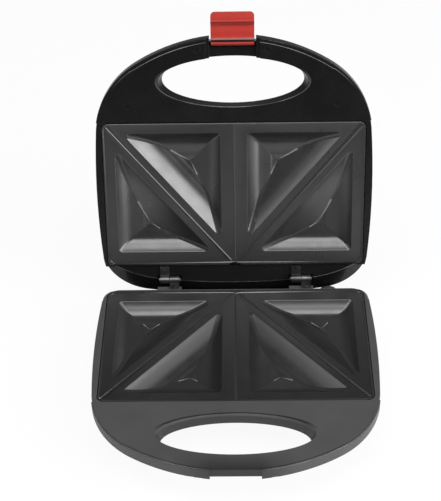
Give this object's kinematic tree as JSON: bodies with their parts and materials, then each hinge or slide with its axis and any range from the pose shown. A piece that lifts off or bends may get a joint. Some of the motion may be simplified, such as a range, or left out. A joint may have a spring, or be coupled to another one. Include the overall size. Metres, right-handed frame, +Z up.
{
  "type": "sandwich toaster",
  "caption": "Countertop sandwich toaster with hinged lid, triangular pocket plates, D-shaped grips with hand holes and a hinged latch.",
  "frame": {"origin": "bottom centre of the overall box with the lid open, on the floor under the feet", "axes": "+Z up, +Y from the base's grip towards the hinges, +X to the right seen from the grip"},
  "size_m": [0.24, 0.3044, 0.2703],
  "materials": {
    "housing_base": "fine-grained matte",
    "housing_lid": "satin",
    "non_stick": "dark non-stick coating, satin",
    "latch_red": "satin gloss",
    "steel": "satin",
    "black_steel": "blackened",
    "element": "dull",
    "sheet_steel": "satin",
    "ceramic": "matte",
    "rubber": "matte",
    "lens_red": "clear tinted",
    "lens_green": "clear tinted",
    "lamp_glass": "clear"
  },
  "bodies": {
    "base": {"base_shell": "housing_base", "base_grip_cover": "housing_base", "lower_plate": "non_stick", "lower_heater": "element", "lower_shield": "sheet_steel", "lower_shield_screws": "steel", "lower_plate_screws": "steel", "base_grip_screws": "steel", "thermostat": "ceramic", "terminal_block": "ceramic", "cord_inlet": "rubber", "foot_front_left": "rubber", "foot_front_right": "rubber", "foot_rear_left": "rubber", "foot_rear_right": "rubber", "hinge_base_left": "steel", "hinge_base_right": "steel", "hinge_pin_left": "steel", "hinge_pin_right": "steel", "hinge_base_screws": "steel"},
    "lid": {"lid_shell": "housing_lid", "lid_grip_cover": "housing_lid", "upper_plate": "non_stick", "upper_heater": "element", "upper_shield": "sheet_steel", "upper_shield_screws": "steel", "upper_plate_screws": "steel", "lid_grip_screws": "black_steel", "thermal_fuse": "ceramic", "power_lens": "lens_red", "ready_lens": "lens_green", "power_lamp": "lamp_glass", "ready_lamp": "lamp_glass", "hinge_lid_left": "steel", "hinge_lid_right": "steel", "hinge_lid_screws": "steel", "latch_pin": "steel"},
    "latch": {"latch": "latch_red"}
  },
  "joints": [
    {"name": "lid_hinge", "type": "hinge", "parent": "base", "child": "lid", "pos_m": [0, 0.06747, 0.0435], "axis": [1, 0, 0], "range_deg": [0, 108]},
    {"name": "latch_hinge", "type": "hinge", "parent": "lid", "child": "latch", "pos_m": [0, 0.13878, 0.24808], "axis": [1, 0, 0], "range_deg": [0, 90]}
  ]
}
